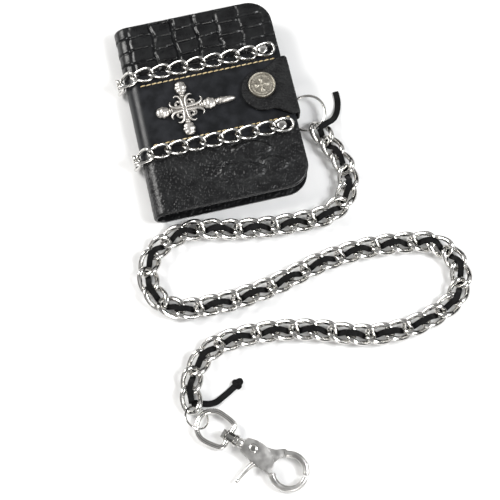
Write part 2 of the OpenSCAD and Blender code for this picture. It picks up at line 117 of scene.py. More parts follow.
class Shader:
    """A material or a world that is built up from nodes."""

    def __init__(self, name: str, world: bool = False) -> None:
        """Makes an empty node tree.

        Args:
            name: its name.
            world: whether it is the world's and not a material's.
        """
        self.owner = (bpy.data.worlds if world else bpy.data.materials).new(name)
        self.owner.use_nodes = True
        self.tree = self.owner.node_tree
        self.tree.nodes.clear()
        self._place: Signal | None = None

    def node(self, kind: str, settings: Values | None = None, inputs: Values | None = None,
             output: str | int = 0) -> Signal:
        """Adds any node.

        Args:
            kind: the node's type without its ShaderNode prefix.
            settings: its own properties; "stops" holds a ramp's places and colours, both ends first.
            inputs: values or signals for its sockets.
            output: the output that is wanted.

        Returns:
            That output.
        """
        made = self.tree.nodes.new("ShaderNode" + kind)
        for key, value in (settings or {}).items():
            if key == "stops":
                ramp = made.color_ramp.elements
                for index, (place, colour) in enumerate(value):
                    stop = ramp[index] if index < 2 else ramp.new(place)
                    stop.position, stop.color = place, (*colour, 1.0)
            else:
                setattr(made, key, value)
        for key, value in (inputs or {}).items():
            if isinstance(value, Signal):
                self.tree.links.new(value.socket, made.inputs[key])
            else:
                made.inputs[key].default_value = value
        return Signal(self, made.outputs[output] if made.outputs else None)

    @property
    def place(self) -> Signal:
        """The surface's own Object coordinates."""
        if self._place is None:
            self._place = self.node("TexCoord", output="Object")
        return self._place

    def grain(self, size: float, detail: float = 3.0, stretch: Point = (1, 1, 1)) -> Signal:
        """Noise from 0 to 1.

        Args:
            size: the size of one blot in metres.
            detail: how many octaves.
            stretch: scale along each axis.

        Returns:
            The noise.
        """
        place = self.place
        if tuple(stretch) != (1, 1, 1):
            place = self.node("Mapping", {}, {"Vector": place, "Scale": stretch})
        return self.node("TexNoise", {}, {"Vector": place, "Scale": 1 / size, "Detail": detail})

    def cells(self, size: float, feature: str = "F1") -> Signal:
        """Distance inside round cells.

        Args:
            size: the size of one cell in metres.
            feature: which distance is measured.

        Returns:
            The distance, in cells.
        """
        settings = {"feature": feature}
        return self.node("TexVoronoi", settings, {"Vector": self.place, "Scale": 1 / size})

    def spread(self, value: Signal, low: float, high: float, to: tuple[float, float]) -> Signal:
        """Maps a value's span onto another, smoothly and clamped.

        Args:
            value: what is mapped.
            low: the start of its span.
            high: the end of its span.
            to: the span that comes out.

        Returns:
            The mapped value.
        """
        settings = {"interpolation_type": "SMOOTHSTEP"}
        ends = {"Value": value, "From Min": low, "From Max": high, "To Min": to[0], "To Max": to[1]}
        return self.node("MapRange", settings, ends)

    def tint(self, mask: Signal, dark: Point, light: Point) -> Signal:
        """Two colours mixed by a mask.

        Args:
            mask: 0 for dark and 1 for light.
            dark: the first colour.
            light: the second colour.

        Returns:
            The colour.
        """
        stops = ((0.0, dark), (1.0, light))
        return self.node("ValToRGB", {"stops": stops}, {"Fac": mask})

    def height_of(self, axis: str = "Z") -> Signal:
        """One Object coordinate, in metres."""
        return self.node("SeparateXYZ", {}, {"Vector": self.place}, axis)

    def finish(self, sockets: Values, relief: Signal | None = None, depth: float = 0.0) -> bpy.types.Material:
        """Ends the material in one Principled shader.

        Args:
            sockets: the shader's values and signals.
            relief: a height from 0 to 1 for a bump.
            depth: how deep that bump is, in metres.

        Returns:
            The material.
        """
        if relief is not None:
            bump = {"Height": relief, "Distance": depth, "Strength": 1.0}
            sockets = {**sockets, "Normal": self.node("Bump", {}, bump)}
        shader = self.node("BsdfPrincipled", {}, sockets)
        self.node("OutputMaterial", {}, {"Surface": shader})
        return self.owner


# -------------------------------------------------------------------- finishes


@dataclass(frozen=True)
class Leather:
    """Black leather, from glossy embossed hide to a dull lining."""

    name: str
    tone: Point
    worn: Point
    gloss: tuple[float, float]
    coat: float
    pore: float
    pore_depth: float
    crease: float = 0.0

    def build(self) -> bpy.types.Material:
        """Makes the material: pores, creases, a rubbed tone and uneven gloss."""
        shader = Shader(self.name)
        mottle = shader.grain(7 * MM, 4.0)
        fine = shader.grain(self.pore * 0.8, 3.0)
        pores = shader.cells(self.pore, "SMOOTH_F1")
        relief = shader.spread(pores, 0.15, 0.75, (1.0, 0.0)) * 0.8 + fine * 0.2
        if self.crease:
            crease = shader.cells(self.crease, "DISTANCE_TO_EDGE")
            relief = relief * 0.55 + shader.spread(crease, 0.0, 0.16, (0.0, 0.45))
        rub = shader.spread(mottle + fine * 0.35, 0.45, 0.95, (0.0, 1.0))
        rough = shader.spread(mottle, 0.3, 0.7, self.gloss) + (1 - relief) * 0.06
        sockets = {"Base Color": shader.tint(rub, self.tone, self.worn), "Roughness": rough,
                   "Coat Weight": self.coat, "Coat Roughness": 0.28, "Specular IOR Level": 0.22}
        return shader.finish(sockets, relief, self.pore_depth)


@dataclass(frozen=True)
class Metal:
    """Plated metal, with soot in its hollows where it is antique."""

    name: str
    bright: Point
    dull: Point
    gloss: tuple[float, float]
    scratch: float = 0.02 * MM
    brushed: Point = (1, 1, 1)
    soot: tuple[float, float] | None = None

    def build(self) -> bpy.types.Material:
        """Makes the material: fine scratches, cloudy plating and dark hollows."""
        shader = Shader(self.name)
        cloud = shader.grain(5 * MM, 3.0)
        scratch = shader.grain(0.35 * MM, 4.0, self.brushed)
        mask = shader.spread(cloud, 0.3, 0.75, (0.0, 1.0))
        rough = shader.spread(cloud, 0.3, 0.75, self.gloss) + scratch * 0.05
        sockets: Values = {"Metallic": 1.0}
        if self.soot:
            low, high = self.soot
            clean = shader.spread(shader.height_of() + (cloud - 0.5) * (0.5 * MM), low, high, (0.0, 1.0))
            pits = shader.spread(shader.grain(0.8 * MM, 2.0), 0.36, 0.5, (0.25, 1.0))
            mask, rough = clean * pits, rough + (1 - clean) * 0.35
        sockets["Base Color"] = shader.tint(mask, self.dull, self.bright)
        sockets["Roughness"] = rough
        return shader.finish(sockets, scratch, self.scratch)


@dataclass(frozen=True)
class Fibre:
    """Dull fibres: sewing thread or the nap of a suede lace."""

    name: str
    tone: Point
    light: Point
    strand: float
    depth: float

    def build(self) -> bpy.types.Material:
        """Makes the material: short fibres over a slow change of tone."""
        shader = Shader(self.name)
        nap = shader.grain(self.strand, 5.0, (1, 1, 2.5))
        slow = shader.grain(4 * MM, 2.0)
        mask = shader.spread(nap * 0.6 + slow * 0.4, 0.35, 0.68, (0.0, 1.0))
        sockets = {"Base Color": shader.tint(mask, self.tone, self.light),
                   "Roughness": shader.spread(nap, 0.3, 0.7, (0.8, 0.96)),
                   "Sheen Weight": 0.03, "Sheen Roughness": 0.5, "Specular IOR Level": 0.15}
        return shader.finish(sockets, nap, self.depth)


class Finish(Enum):
    """Every finish on the wallet."""

    SCALES = Leather("scaled_hide", (0.003, 0.003, 0.0035), (0.008, 0.0085, 0.009), (0.2, 0.36), 0.25,
                     0.9 * MM, 0.05 * MM, 2.6 * MM)
    PEBBLED = Leather("pebbled_hide", (0.003, 0.003, 0.0035), (0.009, 0.0095, 0.01), (0.24, 0.4), 0.35,
                      1.5 * MM, 0.42 * MM)
    SMOOTH = Leather("smooth_band", (0.005, 0.0055, 0.0065), (0.014, 0.015, 0.018), (0.3, 0.42), 0.12,
                     0.5 * MM, 0.012 * MM)
    STRAP = Leather("strap_hide", (0.004, 0.004, 0.0045), (0.012, 0.0125, 0.013), (0.42, 0.6), 0.05,
                    1.2 * MM, 0.3 * MM)
    LINING = Leather("lining_hide", (0.012, 0.012, 0.013), (0.03, 0.03, 0.032), (0.55, 0.75), 0.0,
                     0.6 * MM, 0.05 * MM)
    SUEDE = Fibre("suede", (0.002, 0.002, 0.002), (0.009, 0.009, 0.0095), 0.35 * MM, 0.12 * MM)
    THREAD = Fibre("waxed_thread", (0.42, 0.3, 0.13), (0.83, 0.71, 0.46), 0.22 * MM, 0.08 * MM)
    NICKEL = Metal("bright_nickel", (0.74, 0.73, 0.705), (0.6, 0.59, 0.57), (0.12, 0.22))
    BRUSHED = Metal("brushed_nickel", (0.72, 0.71, 0.69), (0.54, 0.53, 0.515), (0.26, 0.36),
                    0.05 * MM, (0.12, 0.12, 3.0))
    ANTIQUE = Metal("antique_silver", (0.72, 0.71, 0.68), (0.03, 0.028, 0.026), (0.2, 0.34),
                    0.06 * MM, (1, 1, 1), (16.2 * MM, 17.9 * MM))
    CAP = Metal("antique_cap", (0.5, 0.47, 0.4), (0.1, 0.09, 0.075), (0.34, 0.5),
                0.08 * MM, (1, 1, 1), (19.75 * MM, 20.45 * MM))

    def material(self) -> bpy.types.Material:
        """The finish's material, made once."""
        made = bpy.data.materials.get(self.value.name)
        return made or self.value.build()


# --------------------------------------------------------------- mesh building


@dataclass
class Station:
    """One cross-section of a loft."""

    centre: Vector
    side: Vector
    up: Vector
    half_width: float
    half_height: float


def add_piece(name: str, mesh: bmesh.types.BMesh, finish: Finish, sharp: float = 40.0) -> bpy.types.Object:
    """Turns finished geometry into a named piece.

    Args:
        name: the piece's name.
        mesh: its geometry, which is freed.
        finish: its material.
        sharp: the angle in degrees over which an edge stays crisp.

    Returns:
        The piece.
    """
    bmesh.ops.recalc_face_normals(mesh, faces=mesh.faces)
    data = bpy.data.meshes.new(name)
    mesh.to_mesh(data)
    mesh.free()
    data.materials.append(finish.material())
    data.shade_smooth()
    data.set_sharp_from_angle(angle=math.radians(sharp))
    piece = bpy.data.objects.new(name, data)
    bpy.context.scene.collection.objects.link(piece)
    LOG.info("%s: %d faces", name, len(data.polygons))
    return piece


def join_rings(mesh: bmesh.types.BMesh, rings: Sequence[Sequence[bmesh.types.BMVert]], closed: bool = False) -> None:
    """Adds the faces between rings of corners.

    Args:
        mesh: where they go.
        rings: the rings, each with the same number of corners.
        closed: whether the last ring joins the first; if not, both ends are capped.
    """
    pairs = list(zip(rings, rings[1:])) + ([(rings[-1], rings[0])] if closed else [])
    for one, two in pairs:
        for k in range(len(one)):
            j = (k + 1) % len(one)
            mesh.faces.new((one[k], one[j], two[j], two[k]))
    if not closed:
        mesh.faces.new(rings[0])
        mesh.faces.new(rings[-1])


def add_loft(mesh: bmesh.types.BMesh, stations: Sequence[Station], around: int = 12, square: float = 2.0,
             closed: bool = False) -> None:
    """Adds a skin through cross-sections.

    Args:
        mesh: where it goes.
        stations: the cross-sections in order.
        around: points in each cross-section.
        square: 2 for an ellipse, more for a rounded rectangle.
        closed: whether the last joins the first.
    """
    rings = []
    for st in stations:
        ring = []
        for k in range(around):
            angle = math.tau * (k + 0.5) / around
            c, s = math.cos(angle), math.sin(angle)
            x = math.copysign(abs(c) ** (2 / square), c) * st.half_width
            y = math.copysign(abs(s) ** (2 / square), s) * st.half_height
            ring.append(mesh.verts.new(st.centre + st.side * x + st.up * y))
        rings.append(ring)
    join_rings(mesh, rings, closed)


def tube_stations(path: Sequence[Vector], radius: float | Callable[[float], float], closed: bool = False,
                  up: Vector | None = None, flat: float = 1.0) -> list[Station]:
    """Cross-sections of a wire along a path.

    Args:
        path: its points.
        radius: the wire's radius, or a function of the share of the way.
        closed: whether the path is a loop.
        up: the direction that the cross-section's height keeps to.
        flat: height over width of the wire.

    Returns:
        The cross-sections.
    """
    up = up or Vector((0, 0, 1))
    count = len(path)
    out = []
    for i, point in enumerate(path):
        ahead = path[(i + 1) % count] if closed or i + 1 < count else path[i]
        behind = path[i - 1] if closed or i else path[i]
        along = (ahead - behind).normalized()
        side = along.cross(up)
        side = side.normalized() if side.length > 1e-4 else Vector((1, 0, 0))
        r = radius(i / (count - 1)) if callable(radius) else radius
        out.append(Station(point, side, side.cross(along), r, r * flat))
    return out


def add_tube(mesh: bmesh.types.BMesh, path: Sequence[Vector], radius: float | Callable[[float], float],
             around: int = 12, closed: bool = False, up: Vector | None = None, flat: float = 1.0) -> None:
    """Adds a wire along a path; the arguments are those of tube_stations and add_loft."""
    add_loft(mesh, tube_stations(path, radius, closed, up, flat), around, closed=closed)


def add_lathe(mesh: bmesh.types.BMesh, profile: Sequence[tuple[float, float]], place: Matrix, around: int = 40) -> None:
    """Adds a turned shape.

    Args:
        mesh: where it goes.
        profile: height and radius pairs, turned about the local Z axis.
        place: the local frame.
        around: how many faces round it.
    """
    x, y, z = (place.to_3x3() @ Vector(v) for v in ((1, 0, 0), (0, 1, 0), (0, 0, 1)))
    origin = place.to_translation()
    stations = [Station(origin + z * h, x, y, max(r, 1e-6), max(r, 1e-6)) for h, r in profile]
    add_loft(mesh, stations, around)


def curve_between(a: Vector, b: Vector, c: Vector, d: Vector, steps: int) -> list[Vector]:
    """Catmull and Rom's curve between two points.

    Args:
        a: the point before the start.
        b: the start.
        c: the end.
        d: the point after the end.
        steps: how many points the curve gets.

    Returns:
        Its points, without the end.
    """
    shares = [k / steps for k in range(steps)]
    return [0.5 * (2 * b + (c - a) * t + (2 * a - 5 * b + 4 * c - d) * t**2 + (3 * b - a - 3 * c + d) * t**3)
            for t in shares]


def rounded(points: Sequence[Point], steps: int = 6) -> list[Vector]:
    """A smooth closed line through a few points; each stretch gets this many steps."""
    p = [Vector((*q, 0.0)[:3]) for q in points]
    out = []
    for i in range(len(p)):
        out += curve_between(p[i - 1], p[i], p[(i + 1) % len(p)], p[(i + 2) % len(p)], steps)
    return out


def smooth_line(points: Sequence[Vector], steps: int) -> list[Vector]:
    """A smooth open line through a few points; each stretch gets this many steps."""
    p = [points[0] * 2 - points[1], *points, points[-1] * 2 - points[-2]]
    out = []
    for i in range(1, len(p) - 2):
        out += curve_between(*p[i - 1 : i + 3], steps)
    return [*out, points[-1].copy()]


def add_plate(mesh: bmesh.types.BMesh, outline: Sequence[Vector], place: Matrix, low: float, high: float,
              bevel: float) -> None:
    """Adds a flat plate with softened edges.

    Args:
        mesh: where it goes.
        outline: its outline in the local XY plane.
        place: the local frame.
        low: the plate's lower height.
        high: its upper height.
        bevel: the radius of its edges.
    """
    new = bmesh.new()
    face = new.faces.new([new.verts.new((q.x, q.y, low)) for q in outline])
    top = bmesh.ops.extrude_face_region(new, geom=[face])["geom"]
    bmesh.ops.translate(new, vec=(0, 0, high - low), verts=[v for v in top if isinstance(v, bmesh.types.BMVert)])
    bmesh.ops.recalc_face_normals(new, faces=new.faces)
    rims = [e for e in new.edges if e.is_manifold and e.calc_face_angle() > 1.0 and
            abs(e.verts[0].co.z - e.verts[1].co.z) < 1e-7]
    bmesh.ops.bevel(new, geom=rims, offset=bevel, segments=3, profile=0.6, affect="EDGES")
    bmesh.ops.transform(new, matrix=place, verts=new.verts)
    join(mesh, new)


def in_mm(points: Iterable[Point]) -> list[tuple[float, ...]]:
    """Points given in millimetres, in metres."""
    return [tuple(value * MM for value in point) for point in points]


def join(mesh: bmesh.types.BMesh, other: bmesh.types.BMesh) -> None:
    """Moves another mesh's geometry into this one and frees it."""
    held = bpy.data.meshes.new("held")
    other.to_mesh(held)
    other.free()
    mesh.from_mesh(held)
    bpy.data.meshes.remove(held)


def bell(x: float, width: float) -> float:
    """A bell curve: 1 where x is 0, and about a third where x is the width."""
    return math.exp(-((x / width) ** 2))


def wave(x: float, y: float, size: float, seed: float = 0.0) -> float:
    """Smooth noise from -1 to 1 over a plane, at a size in the same units as x and y."""
    return noise.noise(Vector((x / size, y / size, seed)))


# ------------------------------------------------------------ reading the frame


@dataclass
class Axes:
    """Where a loop lies: its centre, its long and wide directions and its normal."""

    centre: Vector
    along: Vector
    across: Vector
    normal: Vector

    def matrix(self) -> Matrix:
        """The local frame as a matrix."""
        turn = Matrix((self.along, self.across, self.normal)).transposed()
        return Matrix.Translation(self.centre) @ turn.to_4x4()


def solids_of(node: str) -> list[Axes]:
    """Finds each separate solid of a CAD node and how it lies.

    Args:
        node: the CAD node.

    Returns:
        One set of axes per solid, by the spread of its corners.
    """
    mesh = bmesh.new()
    mesh.from_mesh(frame["nodes"][node].data)
    bmesh.ops.remove_doubles(mesh, verts=mesh.verts, dist=0.002 * MM)
    left, found = set(mesh.verts), []
    for start in mesh.verts:
        if start not in left:
            continue
        left.discard(start)
        queue, island = [start], []
        while queue:
            vert = queue.pop()
            island.append(vert.co.copy())
            for edge in vert.link_edges:
                other = edge.other_vert(vert)
                if other in left:
                    left.discard(other)
                    queue.append(other)
        found.append(axes_of(island))
    mesh.free()
    return sorted(found, key=lambda a: (round(a.centre.y, 4), round(a.centre.x, 4)))


def axes_of(points: Iterable[Vector]) -> Axes:
    """The principal axes of a set of points, right-handed."""
    cloud = np.array([tuple(p) for p in points])
    centre = cloud.mean(0)
    _, vectors = np.linalg.eigh(np.cov((cloud - centre).T))
    along, normal = Vector(vectors[:, 2]), Vector(vectors[:, 0])
    if normal.z < 0:
        normal = -normal
    return Axes(Vector(centre), along, normal.cross(along), normal)


def joint(name: str) -> dict:
    """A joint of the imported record, by name."""
    return next(j for j in frame["joints"] if j["name"] == name)


# ----------------------------------------------------------------- the covers


class Zone(Enum):
    """The three bands of the cover, from top to bottom."""

    TOP = "top"
    BAND = "band"
    LOW = "low"


@dataclass
class Cover:
    """The outer leather: it runs round the spine and over both faces."""

    corner: float = 14 * MM
    skin: float = 0.8 * MM
    hide: float = 1.8 * MM
    step: float = 0.55 * MM
    column: float = 13.2 * MM
    row: float = 8.3 * MM

    def __post_init__(self) -> None:
        """Reads the wallet's section from the frame."""
        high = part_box("back_hide")[1]
        self.free = high.x
        self.tall = high.y
        self.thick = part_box("panel_band")[1].z
        self.radius = self.thick / 2
        self.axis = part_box("spine_hide")[0].x + self.radius
        self.arc = math.pi / 2 * self.radius
        self.length = self.arc + self.free - self.axis
        self.edges = {Zone.TOP: (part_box("panel_top")[0].y, self.tall), Zone.LOW: (-self.tall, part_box("panel_low")[1].y),
                      Zone.BAND: (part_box("panel_band")[0].y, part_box("panel_band")[1].y)}

    def section(self, s: float, front: bool) -> tuple[Vector, Vector]:
        """A point of the outer surface and its normal.

        Args:
            s: the way along the leather from the middle of the spine.
            front: which half it is on.

        Returns:
            The point at y 0 and the outward normal.
        """
        if s < self.arc:
            a = math.pi - s / self.radius
            normal = Vector((math.cos(a), 0, math.sin(a)))
        else:
            normal = Vector((0, 0, 1))
        point = Vector((self.axis + max(s - self.arc, 0), 0, self.radius)) + normal * self.radius
        if not front:
            point.z, normal.z = self.thick - point.z, -normal.z
        return point, normal

    def reach(self, x: float) -> float:
        """How far the outline goes from y 0 at this x, round the free corners."""
        over = x - (self.free - self.corner)
        if over <= 0:
            return self.tall
        return self.tall - self.corner + math.sqrt(max(self.corner**2 - over**2, 0))

    def scales(self, s: float, y: float) -> float:
        """Relief of the large embossed scales, in metres."""
        u = s / self.column + 0.13 * wave(s, y, 9 * MM, 1) + 0.05 * wave(s, y, 3 * MM, 2)
        col = math.floor(u)
        shift = 0.18 * math.sin(2.1 * col + 0.4)
        v = (self.tall - y) / self.row + shift + 0.14 * wave(s, y, 8 * MM, 3 + col)
        fu, fv = u - col, v - math.floor(v)
        du = min(fu, 1 - fu) * self.column
        dv = min(fv, 1 - fv) * self.row
        middle = bell(s - 42 * MM, 26 * MM)
        groove = -(0.35 + 0.75 * middle) * bell(du, 0.85 * MM)
        split = -0.8 * bell(dv, 0.55 * MM)
        ledge = (0.5 + 0.5 * middle) * math.exp(-((1 - fv) * self.row / (1.5 * MM)) ** 1.2) * min(1, du / (1.6 * MM))
        rim = 0.25 * middle * bell(du - 1.7 * MM, 0.7 * MM)
        dish = 0.3 * (1 - (2 * fu - 1) ** 2) - 0.1 * wave(s, y, 2.2 * MM, 7)
        return (groove + split + ledge + rim + dish - 0.15) * MM * 0.85

    def pebbles(self, s: float, y: float) -> float:
        """Relief of the fine hide with its glossy patch and eye-shaped ridges, in metres."""
        x = s - self.arc + self.axis
        lift = 0.1 * wave(s, y, 1.9 * MM, 4) + 0.07 * wave(s * 0.5, y, 2.6 * MM, 5)
        patch = bell(x + 5 * MM, 9 * MM) * bell(y + 40 * MM, 15 * MM)
        cells = noise.voronoi(Vector((s / (3.1 * MM), y / (2.4 * MM), 3.0)))[0]
        lift += patch * 0.6 * (min(1.0, (cells[1] - cells[0]) * 2.2) - 0.4)
        for cx, cy, a, b, tall in ((17, -32.5, 9.5, 4.2, 0.95), (8.5, -45, 11, 5.2, 1.1), (27, -44.5, 7, 4.6, 0.8)):
            dx, dy = (x / MM - cx) / a, (y / MM - cy + 0.12 * (x / MM - cx)) / b
            f = math.hypot(dx, dy * (1.0 if dy > 0 else 1.35))
            f += 0.08 * wave(x, y, 3 * MM, cx)
            lift += tall * bell(f - 1, 0.16) * (1.0 if dy > 0 else 0.35)
            lift += 0.5 * tall * max(0.0, 1 - f * f) - 0.3 * tall * bell(f - 1.32, 0.14)
        return lift * MM

    def plain(self, s: float, y: float) -> float:
        """Relief of the smooth band, in metres: slow waves and a sewn valley at each side."""
        low, high = self.edges[Zone.BAND]
        seam = min(high - 6.6 * MM - y, y - low - 6.4 * MM)
        return (-0.16 * bell(seam, 0.5 * MM) + 0.05 * wave(s, y, 16 * MM, 6)) * MM

    def build_skin(self, name: str, front: bool, zone: Zone, finish: Finish, depth: tuple[float, float],
                   nodes: Sequence[str], slot: str, limits: tuple[float, float] | None = None) -> None:
        """Makes one layer of leather from the middle of the spine to the free edge.

        Args:
            name: the piece's name.
            front: which half it is on.
            zone: which band it covers, which sets its relief.
            finish: its material.
            depth: how far its two faces lie under the outer surface.
            nodes: the CAD nodes that it stands for.
            slot: the record's material slot, which is not used.
            limits: its edges along Y, where they aren't the zone's own.
        """
        low, high = limits or self.edges[zone]
        relief = {Zone.TOP: self.scales, Zone.BAND: self.plain, Zone.LOW: self.pebbles}[zone]
        buried = depth[0] > 0
        step = 2 * MM if buried else 0.9 * MM if zone is Zone.BAND else self.step
        turn = self.length - self.corner
        ways = list(np.linspace(0, turn, int(turn / step) + 1)[:-1])
        ways += [turn + self.corner * math.sin(q) for q in np.linspace(0, math.pi / 2, 22)]
        rows = int((high - low) / step) + 1
        mesh = bmesh.new()
        outer, inner = [], []
        for s in ways:
            point, normal = self.section(s, front)
            reach = self.reach(point.x)
            a, b = max(low, -reach), min(high, reach)
            top, under = [], []
            for k in range(rows + 1):
                y = a + (b - a) * k / rows
                rim = min(self.length - s, self.reach(point.x) - abs(y) if point.x > self.axis else self.tall - abs(y))
                if point.x > self.free - self.corner and abs(y) > self.tall - self.corner:
                    rim = self.corner - math.hypot(point.x - self.free + self.corner, abs(y) - self.tall + self.corner)
                edge = max(0.0, 1 - max(rim, 0) / (1.1 * MM))
                lift = 0.0 if buried else relief(s, y) * (1 - edge) - 0.55 * MM * edge**2.2
                top.append(mesh.verts.new(point + Vector((0, y, 0)) + normal * (min(lift, 0.75 * MM) - depth[0])))
                under.append(mesh.verts.new(point + Vector((0, y, 0)) - normal * depth[1]))
            outer.append(top)
            inner.append(under)
        last = len(ways) - 1
        for i in range(last):
            for k in range(rows):
                mesh.faces.new((outer[i][k], outer[i + 1][k], outer[i + 1][k + 1], outer[i][k + 1]))
                mesh.faces.new((inner[i][k], inner[i][k + 1], inner[i + 1][k + 1], inner[i + 1][k]))
            for k in (0, rows):
                mesh.faces.new((outer[i][k], inner[i][k], inner[i + 1][k], outer[i + 1][k]))
        for i in (0, last):
            for k in range(rows):
                mesh.faces.new((outer[i][k], outer[i][k + 1], inner[i][k + 1], inner[i][k]))
        piece = add_piece(name, mesh, finish, 60)
        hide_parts(*nodes)
        side = 1 if front else -1
        turns = [Vector((self.axis + self.radius * math.cos(a), 0, self.radius + side * self.radius * math.sin(a)))
                 for a in (math.radians(152), math.radians(112))]
        if front:
            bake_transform(piece)
        else:
            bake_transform(piece)

    def build(self) -> None:
        """Makes the layers of both covers."""
        skin, hide, under = (0.0, self.skin), (0.0, self.hide), (self.skin + 0.02 * MM, self.hide)
        full = (-self.tall, self.tall)
        grained, smooth = "grained_leather", "smooth_leather"
        layers = (
            ("front_top_scaled_panel", True, Zone.TOP, Finish.SCALES, skin, ["panel_top"], grained),
            ("front_smooth_band", True, Zone.BAND, Finish.SMOOTH, skin, ["panel_band"], smooth),
            ("front_low_pebbled_panel", True, Zone.LOW, Finish.PEBBLED, skin, ["panel_low"], grained),
            ("front_under_hide", True, Zone.BAND, Finish.SMOOTH, under, ["front_hide", "spine_hide"], grained, full),
            ("back_top_hide", False, Zone.TOP, Finish.SCALES, hide, ["back_hide"], grained),
            ("back_middle_hide", False, Zone.BAND, Finish.SMOOTH, hide, ["back_hide"], grained),
            ("back_low_hide", False, Zone.LOW, Finish.PEBBLED, hide, ["back_hide"], grained),
        )
        for layer in layers:
            self.build_skin(*layer)


@dataclass
class Stitching:
    """A row of waxed stitches beside each cover chain."""

    width: float = 0.75 * MM
    height: float = 0.62 * MM
    slant: float = 0.16 * MM

    def build(self, node: str) -> None:
        """Makes the stitches of one CAD row.

        Args:
            node: the CAD node that they stand for.
        """
        mesh = bmesh.new()
        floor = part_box(node)[0].z
        for st in solids_of(node):
            half = abs(st.along.x) * 1.35 * MM
            path = []
            for k in range(9):
                t = k / 4 - 1
                sink = 0.34 * MM * abs(t) ** 4
                drift = Vector((half * t, self.slant * t, 0))
                path.append(Vector((st.centre.x, st.centre.y, floor + 0.2 * MM - sink)) + drift)
            add_tube(mesh, path, lambda q: self.width / 2 * (1 - 0.35 * abs(2 * q - 1) ** 4), 8, flat=0.8)
        piece = add_piece("thread_" + node, mesh, Finish.THREAD)
        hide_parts(node)
        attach(piece, "front")


@dataclass
class Pages:
    """The plain inner layers, which keep their CAD shapes and get a finish."""

    def build(self) -> None:
        """Dresses the lining, card slots, ring keeper and the snap's hidden parts."""
        for name, node in frame["nodes"].items():
            if "lining" in name or "slot" in name or name == "ring_keeper":
                self.dress(node, Finish.LINING)
            elif name in ("snap_stud", "snap_stud_back", "snap_socket", "swivel_pin"):
                self.dress(node, Finish.BRUSHED)

    @staticmethod
    def dress(node: bpy.types.Object, finish: Finish) -> None:
        """Gives a CAD object one finish.

        Args:
            node: the CAD object.
            finish: its new material.
        """
        node.data.materials.clear()
        node.data.materials.append(finish.material())


# ---------------------------------------------------------------- the jewellery


@dataclass
class CurbLinks:
    """Twisted oval links of round wire."""

    long: float
    wide: float
    twist: float
    wire: float
    squeeze: float = 0.9

    def add(self, mesh: bmesh.types.BMesh, lie: Axes, steps: int = 44) -> None:
        """Adds one link.

        Args:
            mesh: where it goes.
            lie: how it lies.
            steps: how many cross-sections it has.
        """
        place = lie.matrix()
        stations = []
        for k in range(steps):
            t = math.tau * k / steps
            point = Vector((self.long * math.cos(t), self.wide * math.sin(t), self.twist * math.sin(2 * t)))
            along = Vector((-self.long * math.sin(t), self.wide * math.cos(t), 2 * self.twist * math.cos(2 * t)))
            side = along.cross(Vector((0, 0, 1))).normalized()
            up = side.cross(along.normalized())
            turn = place.to_3x3()
            stations.append(Station(place @ point, turn @ side, turn @ up, self.wire, self.wire * self.squeeze))
        add_loft(mesh, stations, 12, 2.25, closed=True)

    def build(self, node: str, body: str) -> list[Axes]:
        """Makes the links of one CAD node.

        Args:
            node: the CAD node that they stand for.
            body: the body that they move with.

        Returns:
            How each link lies.
        """
        mesh = bmesh.new()
        found = solids_of(node)
        for lie in found:
            self.add(mesh, lie)
        piece = add_piece("links_" + node, mesh, Finish.NICKEL, 80)
        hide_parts(node)
        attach(piece, body)
        return found


@dataclass
class DomedRivets:
    """Shanks with a low domed head."""

    head: float = 2.8 * MM
    shank: float = 1.1 * MM

    def build(self, node: str, body: str, out: Vector) -> None:
        """Makes the rivets of one CAD node.

        Args:
            node: the CAD node that they stand for.
            body: the body that they move with.
            out: the direction that the heads face.
        """
        mesh = bmesh.new()
        low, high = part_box(node)
        half = max(abs((high - low).dot(out)) / 2, 1 * MM)
        centres = solids_of(node)
        for lie in centres:
            turn = out.to_track_quat("Z", "Y").to_matrix().to_4x4()
            middle = Vector((low.x + high.x, 0, low.z + high.z)) / 2
            middle.y = lie.centre.y
            if abs(out.z) > 0.5:
                middle.x = lie.centre.x
            top, r = half, self.head
            profile = [(-half, self.shank), (top - 1.0 * MM, self.shank), (top - 1.0 * MM, r * 0.9),
                       (top - 0.85 * MM, r), (top - 0.6 * MM, r * 0.97), (top - 0.3 * MM, r * 0.8),
                       (top - 0.08 * MM, r * 0.5), (top, 0.02 * MM)]
            add_lathe(mesh, profile, Matrix.Translation(middle) @ turn, 28)
        piece = add_piece("domed_" + node, mesh, Finish.NICKEL)
        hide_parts(node)
        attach(piece, body)


